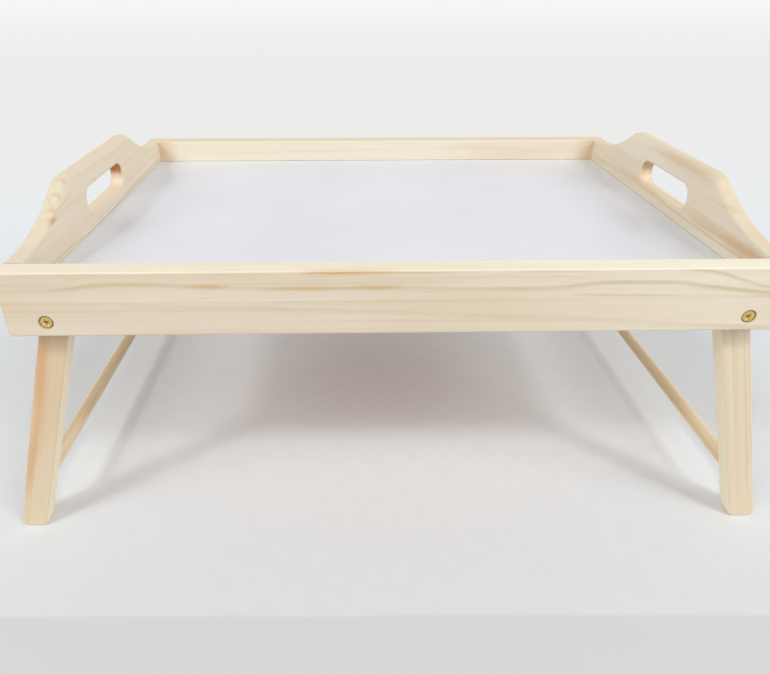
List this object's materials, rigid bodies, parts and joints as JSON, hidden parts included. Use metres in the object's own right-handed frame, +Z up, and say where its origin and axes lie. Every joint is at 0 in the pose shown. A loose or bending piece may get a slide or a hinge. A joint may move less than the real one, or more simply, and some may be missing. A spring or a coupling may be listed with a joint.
{
  "type": "folding leg tray",
  "caption": "Framed rectangular serving tray with a raised slotted handle at each end, standing on two pairs of splayed legs that fold flat beneath its panel.",
  "frame": {"origin": "on the ground under the middle of the open tray", "axes": "+X along the tray to its right end, +Y from the front rail to the back rail, +Z up"},
  "size_m": [0.5898, 0.35, 0.26],
  "materials": {
    "frame_pine": "pale unfinished pine, planed and sanded smooth",
    "leg_pine": "unfinished pine, a little warmer, sanded smooth",
    "dowel_wood": "turned hardwood dowel, unfinished",
    "white_panel": "thin fibreboard with a smooth white satin facing",
    "brass": "bright yellow, lightly worn"
  },
  "bodies": {
    "tray": {"front_rail": "frame_pine", "back_rail": "frame_pine", "left_end_board": "frame_pine", "right_end_board": "frame_pine", "serving_panel": "white_panel", "left_front_lower_dowel": "dowel_wood", "left_front_upper_dowel": "dowel_wood", "left_back_lower_dowel": "dowel_wood", "left_back_upper_dowel": "dowel_wood", "right_front_lower_dowel": "dowel_wood", "right_front_upper_dowel": "dowel_wood", "right_back_lower_dowel": "dowel_wood", "right_back_upper_dowel": "dowel_wood"},
    "left_legs": {"left_front_leg": "leg_pine", "left_back_leg": "leg_pine", "left_crossbar": "dowel_wood", "left_front_pivot_screw": "brass", "left_back_pivot_screw": "brass"},
    "right_legs": {"right_front_leg": "leg_pine", "right_back_leg": "leg_pine", "right_crossbar": "dowel_wood", "right_front_pivot_screw": "brass", "right_back_pivot_screw": "brass"}
  },
  "joints": [
    {"name": "left_leg_fold", "type": "hinge", "parent": "tray", "child": "left_legs", "pos_m": [-0.2243, 0, 0.196], "axis": [0, -1, 0], "range_deg": [0, 107.6]},
    {"name": "right_leg_fold", "type": "hinge", "parent": "tray", "child": "right_legs", "pos_m": [0.2243, 0, 0.196], "axis": [0, 1, 0], "range_deg": [0, 107.6]}
  ]
}
